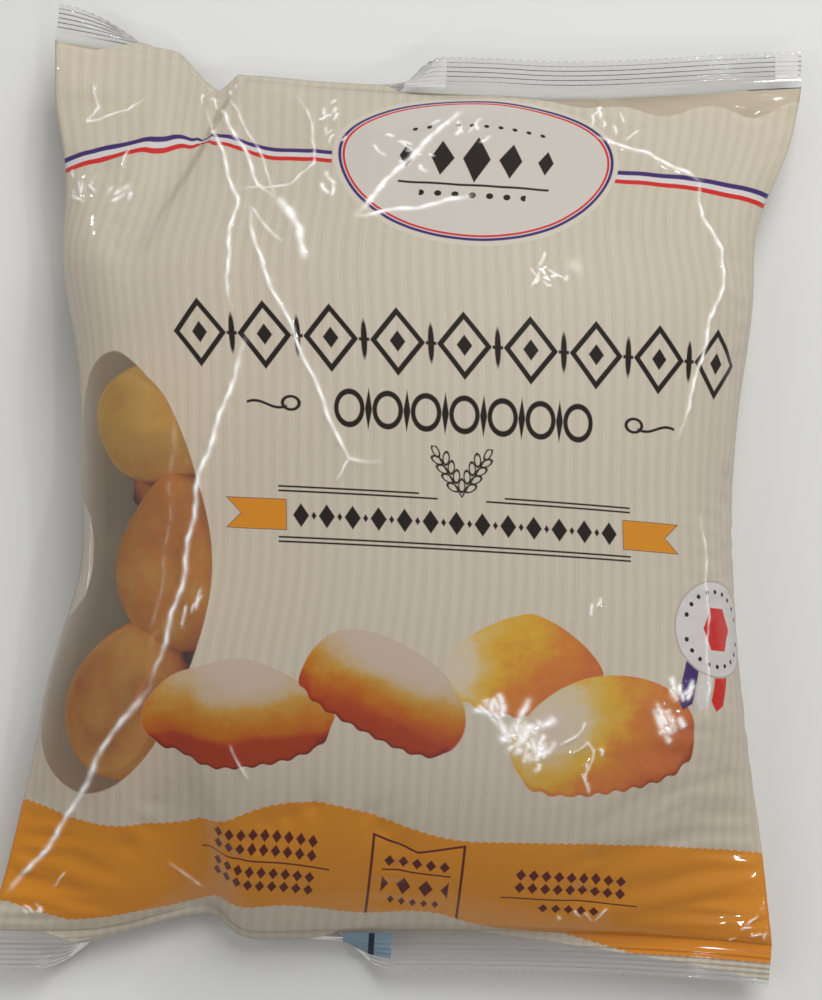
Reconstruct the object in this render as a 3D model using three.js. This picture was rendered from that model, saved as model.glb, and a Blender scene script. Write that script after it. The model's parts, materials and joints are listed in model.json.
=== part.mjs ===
// A sealed pillow bag of small sponge cakes, lying on its back with its printed front up.
// One film tube is crimped shut at both ends. The filled middle stands about 66 mm high with its
// sides pulled in, the ends run out flat to the full width of the tube, and the crimped strips
// lie outwards on the right, fold under the bag left of the middle, and stick out again as ears
// at the left corners.
//
// Frame, in millimetres: +Z up, +Y towards the head of the bag, +X to the right as its front is
// read. The origin is on the surface that the bag lies on, below the middle of its outline.
import * as THREE from "three";

// Driving dimensions.
const TUBE_WIDTH = 242; // flat width of the film tube, as the sealed ends show it
const WAIST_WIDTH = 201; // across the filled middle, where the sides are pulled in
const ROOT_TO_ROOT = 262; // between the inner edges of the two crimped strips, along the middle
const SEAL_DEPTH = 13; // depth of each crimped strip
const SEAL_THICKNESS = 0.9; // of the crimped strips, over the crests of the crimp
const CROWN = 66; // height of the front at its highest
const SEAL_HEIGHT = 13; // height of the strips' inner edges over the floor
const RIM_RISE = 15; // how much higher the side creases run at the waist than at the ends
const BEND_LENGTH = 6; // length of strip taken up by the bend where it folds under

// Mesh resolution: points across each face, and stations along the bag.
const ACROSS = 42;
const STATIONS_PER_SEAL = 5;
const STATIONS_IN_BODY = 44;

const clamp01 = (x) => Math.min(1, Math.max(0, x));
const smooth = (x) => clamp01(x) ** 2 * (3 - 2 * clamp01(x));
const bell = (x, centre, width) => Math.exp(-(((x - centre) / width) ** 2));

// Along the bag, t runs from -1 at the foot's strip to 1 at the head's strip.
// The outline keeps its width over the head half, and is drawn in a little at the right shoulder
// and at a dent left of the middle.
const shoulder = (t) => 1.6 * bell(t, 0.55, 0.2);
const dent = (t) => 2.2 * bell(t, -0.22, 0.18);
const headWidth = (t) => 3.4 * bell(t, 0.47, 0.17) + 2.8 * bell(t, 0.85, 0.14);
const evenWidth = (t) => WAIST_WIDTH + (TUBE_WIDTH - WAIST_WIDTH) * Math.abs(t - 0.03) ** 1.65;
const footWidth = (t) => 0.9 * bell(t, -0.75, 0.2);
const halfWidth = (t) => evenWidth(t) / 2 - shoulder(t) - dent(t) + headWidth(t) + footWidth(t);
const centreLine = (t) => dent(t) - shoulder(t) + bell(t, -0.75, 0.25) - 1.5 - 2.4 * bell(t, 0.62, 0.4);
const rimHeight = (t) => SEAL_HEIGHT + RIM_RISE * (1 - t * t) ** 0.8;

// The cakes have settled towards the foot, so that end is fuller than the head.
function crownHeight(t) {
  const fill = t < 0 ? (1 - (-t) ** 2.9) ** 0.72 : (1 - t ** 2.1) ** 0.86;
  return SEAL_HEIGHT + (CROWN - SEAL_HEIGHT) * fill;
}

// Depth of the underside below its rim. It is cut off flat where the bag rests on the floor.
const bellyDepth = (t) => (rimHeight(t) + 6) * (1 - Math.abs(t) ** 5) ** 0.8;

// Gathers run into the body from each strip and die out towards the middle.
function gathers(u, t) {
  const head = Math.exp((t - 1) * 5.5);
  const foot = Math.exp((-1 - t) * 7);
  const headFolds = -5.5 * bell(u, -0.56, 0.07) + 2.2 * bell(u, -0.42, 0.1) + 1.6 * bell(u, 0.18, 0.09);
  const footFolds = -5 * bell(u, -0.5, 0.07) + 2 * bell(u, -0.3, 0.12) + 1.5 * bell(u, 0.42, 0.1);
  return head * (headFolds - 1.5 * bell(u, 0.55, 0.08)) + foot * footFolds;
}

// Each end: how far the strip's inner edge lies from the middle, its height, and how far the strip
// is turned down, in radians, from lying outwards. u runs across from -1, left, to 1, right.
const headCorners = (u) => 4.4 * smooth((-0.57 - u) / 0.12) + 5.5 * smooth((u - 0.25) / 0.8);
const footCorner = (u) => 10 * smooth((1 - u) / 1.8);
const footNotch = (u) => 8 * bell(u, -0.44, u < -0.44 ? 0.2 : 0.06);
const ENDS = {
  head: {
    reach: (u) => ROOT_TO_ROOT / 2 - 2.5 + 5 * u * u + headCorners(u) - 7.5 * bell(u, -0.56, 0.06),
    height: (u) => SEAL_HEIGHT + 2.5 * Math.sin(4.2 * u + 0.4) + 3 * bell(u, -1, 0.25),
    turn: (u) => 0.25 + 2.3 * smooth((u + 1) / 0.45) * (1 - smooth((u + 0.16) / 0.2)),
  },
  foot: {
    reach: (u) => ROOT_TO_ROOT / 2 + 1 + 3 * u * u + footCorner(u) - footNotch(u),
    height: (u) => SEAL_HEIGHT + 2 * Math.sin(3.6 * u - 0.8) - 2 * bell(u, -1, 0.3),
    turn: (u) => 0.3 + 2.2 * smooth((u + 0.9) / 0.3) * (1 - smooth((u + 0.2) / 0.25)),
  },
};

// A point of a strip at distance d from its inner edge, as [outwards, upwards] from that edge.
function stripPoint(d, turn) {
  const bent = Math.min(d, BEND_LENGTH);
  const angle = (turn * bent) / BEND_LENGTH;
  const radius = BEND_LENGTH / turn;
  const straight = Math.max(0, d - BEND_LENGTH);
  return [
    radius * Math.sin(angle) + straight * Math.cos(angle),
    -radius * (1 - Math.cos(angle)) - straight * Math.sin(angle),
    angle,
  ];
}

// The middle of the body between its inner strip edges, and how it blends into them.
function bodyPoint(u, t, front) {
  const angle = (u * Math.PI) / 2;
  const end = t < 0 ? ENDS.foot : ENDS.head;
  const nearEnd = smooth((Math.abs(t) - 0.45) / 0.55);
  const bow = Math.sin(angle) * (1 - nearEnd) + u * nearEnd;
  const x = centreLine(t) + halfWidth(t) * bow;
  const y = t * end.reach(u);
  const rim = rimHeight(t) + (end.height(u) - SEAL_HEIGHT) * nearEnd;
  // Full and round in the middle, lens-shaped near the strips.
  const roundness = front ? 0.85 + 0.5 * nearEnd : 0.6 + 0.7 * nearEnd;
  const arch = Math.max(0, Math.cos(angle)) ** roundness;
  const z = front
    ? rim + SEAL_THICKNESS / 2 + Math.max(0, (crownHeight(t) - rimHeight(t)) * arch + gathers(u, t) * arch)
    : rim - SEAL_THICKNESS / 2 - bellyDepth(t) * arch;
  return new THREE.Vector3(x, y, Math.max(0, z));
}

function sealPoint(u, d, isHead, front) {
  const end = isHead ? ENDS.head : ENDS.foot;
  const [out, up, angle] = stripPoint(d, end.turn(u));
  const half = ((front ? 1 : -1) * SEAL_THICKNESS) / 2;
  const along = end.reach(u) + out + half * Math.sin(angle);
  const t = isHead ? 1 : -1;
  return new THREE.Vector3(
    centreLine(t) + halfWidth(t) * u,
    t * along,
    Math.max(0.2, end.height(u) + up + half * Math.cos(angle)),
  );
}

// Stations from the foot's outer edge to the head's: each gives a point for any u, front or back.
function stations() {
  const list = [];
  for (let i = STATIONS_PER_SEAL; i >= 1; i--) {
    const d = (SEAL_DEPTH * i) / STATIONS_PER_SEAL;
    list.push((u, front) => sealPoint(u, d, false, front));
  }
  for (let i = 0; i <= STATIONS_IN_BODY; i++) {
    const t = Math.sin(((i / STATIONS_IN_BODY - 0.5) * Math.PI) * 0.92) / Math.sin(0.46 * Math.PI);
    list.push((u, front) => bodyPoint(u, t, front));
  }
  for (let i = 1; i <= STATIONS_PER_SEAL; i++) {
    const d = (SEAL_DEPTH * i) / STATIONS_PER_SEAL;
    list.push((u, front) => sealPoint(u, d, true, front));
  }
  return list;
}

// A closed loft: each station is a loop that runs left to right over the front and back below.
function bagGeometry() {
  const positions = [];
  const loop = 2 * (ACROSS + 1);
  const rows = stations();
  for (const pointOf of rows) {
    for (let k = 0; k < loop; k++) {
      const front = k <= ACROSS;
      const column = front ? k : loop - 1 - k;
      positions.push(...pointOf((2 * column) / ACROSS - 1, front).toArray());
    }
  }
  const indices = [];
  for (let i = 0; i + 1 < rows.length; i++) {
    for (let k = 0; k < loop; k++) {
      const next = (k + 1) % loop;
      const [a, b, c, d] = [i * loop + k, i * loop + next, (i + 1) * loop + next, (i + 1) * loop + k];
      indices.push(a, b, c, a, c, d);
    }
  }
  for (const [row, flip] of [[0, true], [rows.length - 1, false]]) {
    for (let k = 0; k < ACROSS; k++) {
      const [a, b, c, d] = [k, k + 1, loop - 2 - k, loop - 1 - k].map((n) => row * loop + n);
      indices.push(...(flip ? [a, c, b, a, d, c] : [a, b, c, a, c, d]));
    }
  }
  const geometry = new THREE.BufferGeometry();
  geometry.setAttribute("position", new THREE.Float32BufferAttribute(positions, 3));
  geometry.setIndex(indices);
  return geometry;
}

// Moves the middle of the outline over the origin.
function centred(geometry) {
  geometry.computeBoundingBox();
  const middle = geometry.boundingBox.getCenter(new THREE.Vector3());
  return geometry.translate(-middle.x, -middle.y, -geometry.boundingBox.min.z);
}

const film = new THREE.MeshStandardMaterial({ color: 0xc8beac, roughness: 0.2, metalness: 0 });
const bag = new THREE.Mesh(centred(bagGeometry()), film);
bag.name = "bag";

const group = new THREE.Group();
group.add(bag);
export default group;
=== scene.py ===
"""A sealed pillow bag of small sponge cakes, lying on its back with its printed front up.

The film is one tube, crimped shut at both ends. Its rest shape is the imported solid's own surface,
worked out again here on a fine grid. The film's spare length is then let out by a small cloth
solver, which gives it its wrinkles, and its sharp creases are drawn on along their own lines.
Print, window and seals are laid out in film coordinates: millimetres across and along the flat
film, from the middle of its front.
"""
import itertools
import json
import math

import bpy
import numpy as np
from mathutils import Matrix, Vector

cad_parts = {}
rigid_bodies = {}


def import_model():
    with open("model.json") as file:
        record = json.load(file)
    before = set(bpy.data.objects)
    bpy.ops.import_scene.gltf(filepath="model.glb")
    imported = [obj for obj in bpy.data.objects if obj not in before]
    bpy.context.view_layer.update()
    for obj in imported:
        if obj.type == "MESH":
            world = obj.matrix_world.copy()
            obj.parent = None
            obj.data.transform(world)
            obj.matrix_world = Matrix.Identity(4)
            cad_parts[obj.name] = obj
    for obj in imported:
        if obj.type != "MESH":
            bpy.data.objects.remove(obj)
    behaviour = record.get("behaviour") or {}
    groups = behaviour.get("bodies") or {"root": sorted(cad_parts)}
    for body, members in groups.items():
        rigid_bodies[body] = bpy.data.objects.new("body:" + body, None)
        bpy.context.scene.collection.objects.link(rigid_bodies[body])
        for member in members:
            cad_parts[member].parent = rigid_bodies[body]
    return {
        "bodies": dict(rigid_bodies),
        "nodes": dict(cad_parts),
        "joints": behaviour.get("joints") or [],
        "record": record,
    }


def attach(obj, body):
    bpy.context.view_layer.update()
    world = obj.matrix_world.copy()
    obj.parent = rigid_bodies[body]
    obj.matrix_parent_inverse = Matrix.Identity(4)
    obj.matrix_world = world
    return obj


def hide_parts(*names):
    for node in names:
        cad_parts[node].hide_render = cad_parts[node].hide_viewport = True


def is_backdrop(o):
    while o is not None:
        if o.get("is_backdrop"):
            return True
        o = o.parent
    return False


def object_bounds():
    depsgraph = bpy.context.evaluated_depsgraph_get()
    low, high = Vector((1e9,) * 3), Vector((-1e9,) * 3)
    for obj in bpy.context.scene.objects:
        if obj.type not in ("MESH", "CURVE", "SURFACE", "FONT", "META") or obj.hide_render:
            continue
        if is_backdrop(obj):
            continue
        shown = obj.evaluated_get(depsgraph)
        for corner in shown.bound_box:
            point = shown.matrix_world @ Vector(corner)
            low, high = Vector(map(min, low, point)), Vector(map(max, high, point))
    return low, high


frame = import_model()
cad_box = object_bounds()

MM = 0.001
WRINKLE_SEED = 11
CRUMPLE_SEED = 3
CAKE_SEED = 5


# ---------------------------------------------------------------- camera
FRAME_WIDTH_AT_AIM = 252.8 * MM     # what the picture spans across, at the point it aims at
CAMERA_DISTANCE = 750 * MM
CAMERA_TILT = math.radians(5.5)     # from straight above, towards the foot of the bag
CAMERA_ROLL = math.radians(3.5)
AIM = Vector((1.1 * MM, -2 * MM, 35 * MM))


def new_object(name, data):
    made = bpy.data.objects.new(name, data)
    bpy.context.scene.collection.objects.link(made)
    return made


def add_camera():
    data = bpy.data.cameras.new("camera")
    data.sensor_fit = "HORIZONTAL"
    data.lens = data.sensor_width * CAMERA_DISTANCE / FRAME_WIDTH_AT_AIM
    camera = new_object("camera", data)
    turn = Matrix.Rotation(CAMERA_TILT, 4, "X") @ Matrix.Rotation(CAMERA_ROLL, 4, "Z")
    camera.matrix_world = Matrix.Translation(AIM) @ turn @ Matrix.Translation((0, 0, CAMERA_DISTANCE))
    bpy.context.scene.camera = camera


add_camera()


# ---------------------------------------------------------------- the bag's rest shape, in mm
TUBE_WIDTH = 242.0                  # of the flat tube, so also of its sealed ends
WAIST_WIDTH = 201.0
ROOT_TO_ROOT = 262.0                # from one seal strip's root to the other's, as the bag lies
SEAL_DEPTH = 13.0                   # of each strip, from its root to its zigzag edge
CROWN = 66.0                        # the height of the bag's top
SEAL_HEIGHT = 13.0                  # of the strips' roots above the floor
RIM_RISE = 15.0                     # of the bag's widest line above them, at its middle
BEND_LENGTH = 6.0                   # of a strip, in which it bends down
FILM_GAP = 0.3                      # between front and back film where they are sealed


# In these formulas t is a place along the bag, from -1 at its foot to 1 at its head, and u is a place
# across one face, from -1 at its left to 1 at its right. Each bell is one swelling, pinch or fold.
def smooth(x):
    x = np.clip(x, 0, 1)
    return x * x * (3 - 2 * x)


def bell(x, centre, width):
    return np.exp(-(((x - centre) / width) ** 2))


def lengths(vectors):
    return np.linalg.norm(vectors, axis=-1)


def half_width(t):
    even = (WAIST_WIDTH + (TUBE_WIDTH - WAIST_WIDTH) * np.abs(t - 0.03) ** 1.65) / 2
    pulled_in = 1.6 * bell(t, 0.55, 0.2) + 2.2 * bell(t, -0.22, 0.18)
    return (even - pulled_in + 3.4 * bell(t, 0.47, 0.17) + 2.8 * bell(t, 0.85, 0.14)
            + 0.9 * bell(t, -0.75, 0.2))


def centre_line(t):
    bow = -2.4 * bell(t, 0.62, 0.4) - 1.6 * bell(t, 0.55, 0.2)
    return bow - 1.5 + bell(t, -0.75, 0.25) + 2.2 * bell(t, -0.22, 0.18)


def rim_height(t):
    return SEAL_HEIGHT + RIM_RISE * np.clip(1 - t * t, 0, 1) ** 0.8


def crown_height(t):
    away = np.clip(np.abs(t), 0, 1)
    fill = np.where(t < 0, (1 - away**2.9) ** 0.72, (1 - away**2.1) ** 0.86)
    return SEAL_HEIGHT + (CROWN - SEAL_HEIGHT) * fill


def belly_depth(t):
    return (rim_height(t) + 6) * (1 - np.clip(np.abs(t), 0, 1) ** 5) ** 0.8


def gathers(u, t):
    head_folds = -5.5 * bell(u, -0.56, 0.07) + 2.2 * bell(u, -0.42, 0.1) + 1.6 * bell(u, 0.18, 0.09)
    foot_folds = -5 * bell(u, -0.5, 0.07) + 2 * bell(u, -0.3, 0.12) + 1.5 * bell(u, 0.42, 0.1)
    head = np.exp((t - 1) * 5.5) * (head_folds - 1.5 * bell(u, 0.55, 0.08))
    return head + np.exp((-1 - t) * 7) * foot_folds


def head_reach(u):
    corners = 4.4 * smooth((-0.57 - u) / 0.12) + 5.5 * smooth((u - 0.25) / 0.8)
    away = np.where(u < -0.557, (-0.557 - u) / 0.11, (u + 0.557) / 0.045)
    notch = 6.5 * np.maximum(0, 1 - away)
    return ROOT_TO_ROOT / 2 - 2.5 + 5 * u * u + corners - notch


def head_height(u):
    return SEAL_HEIGHT + 2.5 * np.sin(4.2 * u + 0.4) + 3 * bell(u, -1, 0.25)


def head_turn(u):
    return 0.25 + 2.3 * smooth((u + 1) / 0.45) * (1 - smooth((u + 0.16) / 0.2))


def foot_reach(u):
    corner = 10 * smooth((1 - u) / 1.8)
    notch = 8.0 * bell(u, -0.44, np.where(u < -0.44, 0.2, 0.06))
    return ROOT_TO_ROOT / 2 + 1 + 3 * u * u + corner - notch


def foot_height(u):
    return SEAL_HEIGHT + 2 * np.sin(3.6 * u - 0.8) - 2 * bell(u, -1, 0.3)


def foot_turn(u):
    return 0.3 + 2.2 * smooth((u + 0.9) / 0.3) * (1 - smooth((u + 0.2) / 0.25))


def strip_bend(reach, turn):
    """How far out and up a seal strip is at a reach from its root, and its angle there.

    turn is the angle that it bends down by near its root.
    """
    angle = turn * np.minimum(reach, BEND_LENGTH) / BEND_LENGTH
    radius = BEND_LENGTH / turn
    straight = np.maximum(0, reach - BEND_LENGTH)
    out = radius * np.sin(angle) + straight * np.cos(angle)
    up = -radius * (1 - np.cos(angle)) - straight * np.sin(angle)
    return out, up, angle


def packed_shift():
    """From the formulas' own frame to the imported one, where the bag's box is centred."""
    t = u = np.linspace(-1, 1, 801)
    x = np.concatenate([centre_line(t) - half_width(t), centre_line(t) + half_width(t)])
    head = (head_reach(u) + np.maximum(0, strip_bend(SEAL_DEPTH, head_turn(u))[0])).max()
    foot = (foot_reach(u) + np.maximum(0, strip_bend(SEAL_DEPTH, foot_turn(u))[0])).max()
    return np.array([-(x.min() + x.max()) / 2, -(head - foot) / 2, 0])


SHIFT = packed_shift()


def body_point(u, t, front):
    """Points of the tube: u runs across one face from -1 to 1, t along the bag from -1 to 1."""
    u, t = np.broadcast_arrays(np.asarray(u, float), np.asarray(t, float))
    at_foot = t < 0
    angle = u * np.pi / 2
    near_end = smooth((np.abs(t) - 0.45) / 0.55)
    bow = np.sin(angle) * (1 - near_end) + u * near_end
    x = centre_line(t) + half_width(t) * bow
    y = t * np.where(at_foot, foot_reach(u), head_reach(u))
    end_height = np.where(at_foot, foot_height(u), head_height(u))
    rim = rim_height(t) + (end_height - SEAL_HEIGHT) * near_end
    roundness = 0.85 + 0.5 * near_end if front else 0.6 + 0.7 * near_end
    arch = np.maximum(0, np.cos(angle)) ** roundness
    if front:
        rise = (crown_height(t) - rim_height(t)) * arch + gathers(u, t) * arch
        z = rim + FILM_GAP / 2 + np.maximum(0, rise)
    else:
        z = rim - FILM_GAP / 2 - belly_depth(t) * arch
    return np.stack([x, y, np.maximum(0, z)], -1)


# ---------------------------------------------------------------- the film as a fine grid
STEPS_ALONG = np.linspace(-1, 1, 1201)
STEPS_ACROSS = np.linspace(-1, 1, 301)
MIDDLE_LINE = body_point(0.0, STEPS_ALONG, True)
FILM_LENGTH = lengths(np.diff(MIDDLE_LINE, axis=0)).sum()    # from seal to seal
LEVELS = ((90, 72), (165, 132), (240, 192))   # rows along and columns across one face


def middles(count):
    """The middles of a number of equal parts of the stretch from 0 to 1."""
    return (np.arange(count) + 0.5) / count


def resampled(points, places, wanted):
    """A row of points at places, looked up at the wanted places."""
    return np.stack([np.interp(wanted, places, points[:, k]) for k in range(3)], -1)


def spaced(points, count, ends):
    """The places, from 0 to 1, that divide each row of points into equal lengths."""
    steps = lengths(np.diff(points, axis=-2))
    length = np.concatenate([np.zeros_like(steps[..., :1]), np.cumsum(steps, -1)], -1)
    wanted = np.linspace(0, 1, count) if ends else middles(count)
    places = np.linspace(0, 1, points.shape[-2])
    rows = length.reshape(-1, length.shape[-1])
    return np.stack([np.interp(wanted * row[-1], row, places) for row in rows])


def film_grid(rows, columns):
    """The tube at rest, with rows x (2 x columns) points: the front left to right, then the back."""
    t = spaced(MIDDLE_LINE[None], rows, True)[0] * 2 - 1
    faces = []
    for front in (True, False):
        fine = body_point(STEPS_ACROSS[None, :], t[:, None], front)
        u = spaced(fine, columns, False) * 2 - 1
        face = body_point(u, t[:, None] * np.ones_like(u), front)
        faces.append(face if front else face[:, ::-1])
    return np.concatenate(faces, 1)


def grow(values, rows, columns):
    """A grid of values, resampled to a finer grid; the columns go round the tube."""
    old_rows, old_columns = values.shape[:2]
    r = np.linspace(0, old_rows - 1, rows)
    c = middles(columns) * old_columns - 0.5
    r0 = np.clip(np.floor(r).astype(int), 0, old_rows - 2)
    c0 = np.floor(c).astype(int)
    fr = (r - r0)[:, None, None]
    fc = (c - c0)[None, :, None]
    c0, c1 = c0 % old_columns, (c0 + 1) % old_columns
    low = values[r0][:, c0] * (1 - fc) + values[r0][:, c1] * fc
    high = values[r0 + 1][:, c0] * (1 - fc) + values[r0 + 1][:, c1] * fc
    return low * (1 - fr) + high * fr


def pull(a, b, weight_a, weight_b, rest, stiff, push):
    """Moves two sets of points towards their rest distance: stiff when too far, push when too near."""
    step = b - a
    length = np.maximum(np.sqrt((step * step).sum(-1)), 1e-6)
    error = (length - rest) / length
    error = np.where(error < 0, error * push, error * stiff)
    share = (error / np.maximum(weight_a + weight_b, 1e-9))[..., None] * step
    return a + share * weight_a[..., None], b - share * weight_b[..., None]


def pull_pairs(points, weight, first, second, rest, stiff, push):
    """Pulls on the points at one set of places and those at another."""
    points[first], points[second] = pull(
        points[first], points[second], weight[first], weight[second], rest, stiff, push)


def normals_of(points):
    normal = np.cross(np.roll(points, -1, 1) - np.roll(points, 1, 1), np.gradient(points, axis=0))
    return normal / np.maximum(lengths(normal), 1e-9)[..., None]


ROUNDS = (300, 80, 0)               # of the solver, at each of LEVELS
DAMPING = 0.9
PUSH = 0.7                          # how hard neighbours that are too near push apart
SHEAR = (0.5, 0.3)                  # how hard diagonal ones pull together and push apart
BEND = 0.25                         # how much the film resists being folded
BEND_SPANS = (2, 4, 6)              # over how many points
BEND_REACH = 1.002                  # the length that a span keeps to, beside its rest length
PRESSURE = 0.01                     # from what is inside
HOLD = 0.02                         # how much the film, evened out, keeps to its rest shape
FIRM = 0.0005                       # and how much each point does
HOLD_CELL = 9                       # over how many points it is evened out
GROUND = 0.7                        # the least height of the film's points


def blurred(values):
    """A slowly varying copy of a grid of values."""
    rows, columns, depth = values.shape
    r, c = rows // HOLD_CELL, columns // HOLD_CELL
    cells = values[:r * HOLD_CELL, :c * HOLD_CELL].reshape(r, HOLD_CELL, c, HOLD_CELL, depth)
    return grow(cells.mean((1, 3)), rows, columns)


def settle(points, rest, across, along, rounds):
    """Lets the film's spare length out as wrinkles. The rows at the two seals stay where they are."""
    rows, columns, _ = points.shape
    weight = np.ones((rows, columns))
    weight[0] = weight[-1] = 0
    stretch = along / lengths(rest[1:] - rest[:-1]) - 1
    diagonals = {lean: lengths(np.roll(rest[1:], -lean, 1) - rest[:-1]) * (1 + 0.5 * stretch)
                 for lean in (1, -1)}
    wide = {span: lengths(np.roll(rest, -span, 1) - rest) * BEND_REACH for span in BEND_SPANS}
    tall = {span: lengths(rest[span:] - rest[:-span]) * BEND_REACH for span in BEND_SPANS}
    before = points.copy()
    for _ in range(rounds):
        velocity = (points - before) * DAMPING
        before = points.copy()
        normal = normals_of(points)
        off = ((rest - points) * normal).sum(-1, keepdims=True)
        force = PRESSURE + HOLD * blurred(off) + FIRM * off
        points = points + (velocity + normal * force) * weight[..., None]
        for start in (0, 1):
            j = np.arange(start, columns, 2)
            k = (j + 1) % columns
            pull_pairs(points, weight, np.s_[:, j], np.s_[:, k], across[:, j], 1, PUSH)
            i = np.arange(start, rows - 1, 2)
            pull_pairs(points, weight, i, i + 1, along[i], 1, PUSH)
            for lean in (1, -1):
                far, far_weight = np.roll(points[i + 1], -lean, 1), np.roll(weight[i + 1], -lean, 1)
                near, far = pull(points[i], far, weight[i], far_weight, diagonals[lean][i], *SHEAR)
                points[i], points[i + 1] = near, np.roll(far, lean, 1)
        for span in BEND_SPANS:
            for start in range(2 * span):
                j = np.arange(start, columns - columns % (2 * span), 2 * span)
                k = (j + span) % columns
                pull_pairs(points, weight, np.s_[:, j], np.s_[:, k], wide[span][:, j], 0, BEND)
                i = np.arange(start, rows - span, 2 * span)
                pull_pairs(points, weight, i, i + span, tall[span][i], 0, BEND)
        points[..., 2] = np.maximum(points[..., 2], GROUND)
    return points


def spacing(points):
    """The distances between neighbours round the tube and along it."""
    return lengths(np.roll(points, -1, 1) - points), lengths(points[1:] - points[:-1])


SPARE_ACROSS = 0.009                # the most spare width and length, as shares of the film's own
SPARE_ALONG = 0.005
SPARE_AT_SIDES = 0.03               # more length near the side edges
JITTER = 0.35                       # mm, which starts the wrinkles off


def film_shape():
    """The settled film: relaxed on a coarse grid first, then on finer ones."""
    rng = np.random.default_rng(WRINKLE_SEED)
    offset = None
    for (rows, columns), rounds in zip(LEVELS, ROUNDS):
        rest = film_grid(rows, columns)
        if offset is None:
            across, along = spacing(rest)
            side = np.abs(np.linspace(-1, 1, columns)) ** 3
            spare = SPARE_ALONG + SPARE_AT_SIDES * np.concatenate([side, side])
            wider = TUBE_WIDTH / columns / across - 1
            longer = FILM_LENGTH / (rows - 1) / along - 1
            across = across * (1 + np.clip(wider, 0.001, SPARE_ACROSS))
            along = along * (1 + np.clip(longer, 0.001, spare))
            points = rest + rng.normal(0, JITTER, rest.shape)
            points[0], points[-1] = rest[0], rest[-1]
        else:
            points = rest + grow(offset, rows, 2 * columns)
            across, along = spacing(points)
        points = settle(points, rest, across, along, rounds)
        offset = points - rest
    return points


# ---------------------------------------------------------------- film coordinates and meshes
SEAL_START = FILM_LENGTH / 2
FILM_END = SEAL_START + SEAL_DEPTH
FILM_MAP = "OFBake"                 # the film's own coordinates, each from 0 to 1


def film_uv(across, along):
    return np.stack([across / TUBE_WIDTH + 0.5, along / (2 * FILM_END) + 0.5], -1)


def mesh_object(name, points, faces, materials, material_of_face=None, uv=None, shift=(0, 0, 0)):
    """A smooth mesh from points in mm. uv holds a pair for each point."""
    mesh = bpy.data.meshes.new(name)
    faces = faces if isinstance(faces, list) else faces.tolist()
    mesh.from_pydata(((np.asarray(points).reshape(-1, 3) + shift) * MM).tolist(), [], faces)
    for material in materials:
        mesh.materials.append(material)
    if material_of_face is not None:
        mesh.polygons.foreach_set("material_index", material_of_face.astype(np.int32))
    if uv is not None:
        layer = mesh.uv_layers.new(name=FILM_MAP)
        corners = np.fromiter(itertools.chain.from_iterable(faces), int)
        layer.data.foreach_set("uv", np.asarray(uv).reshape(-1, 2)[corners].astype(np.float32).ravel())
    mesh.polygons.foreach_set("use_smooth", np.ones(len(faces), bool))
    mesh.update()
    return new_object(name, mesh)


def object_piece(name, slot, *args, **more):
    """A piece of the bag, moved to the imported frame."""
    piece = mesh_object(name, *args, shift=SHIFT, **more)
    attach(piece, "root")
    return piece


def add_values(piece, name, values):
    """A number for each point of a mesh, for its material to read."""
    attribute = piece.data.attributes.new(name, "FLOAT", "POINT")
    attribute.data.foreach_set("value", np.asarray(values, np.float32).ravel())


def grid_faces(rows, columns):
    """Quads of a grid of points, row by row."""
    i, j = np.meshgrid(np.arange(rows - 1), np.arange(columns - 1), indexing="ij")
    corner = (i * columns + j).ravel()
    return np.stack([corner, corner + 1, corner + columns + 1, corner + columns], 1)


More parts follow.
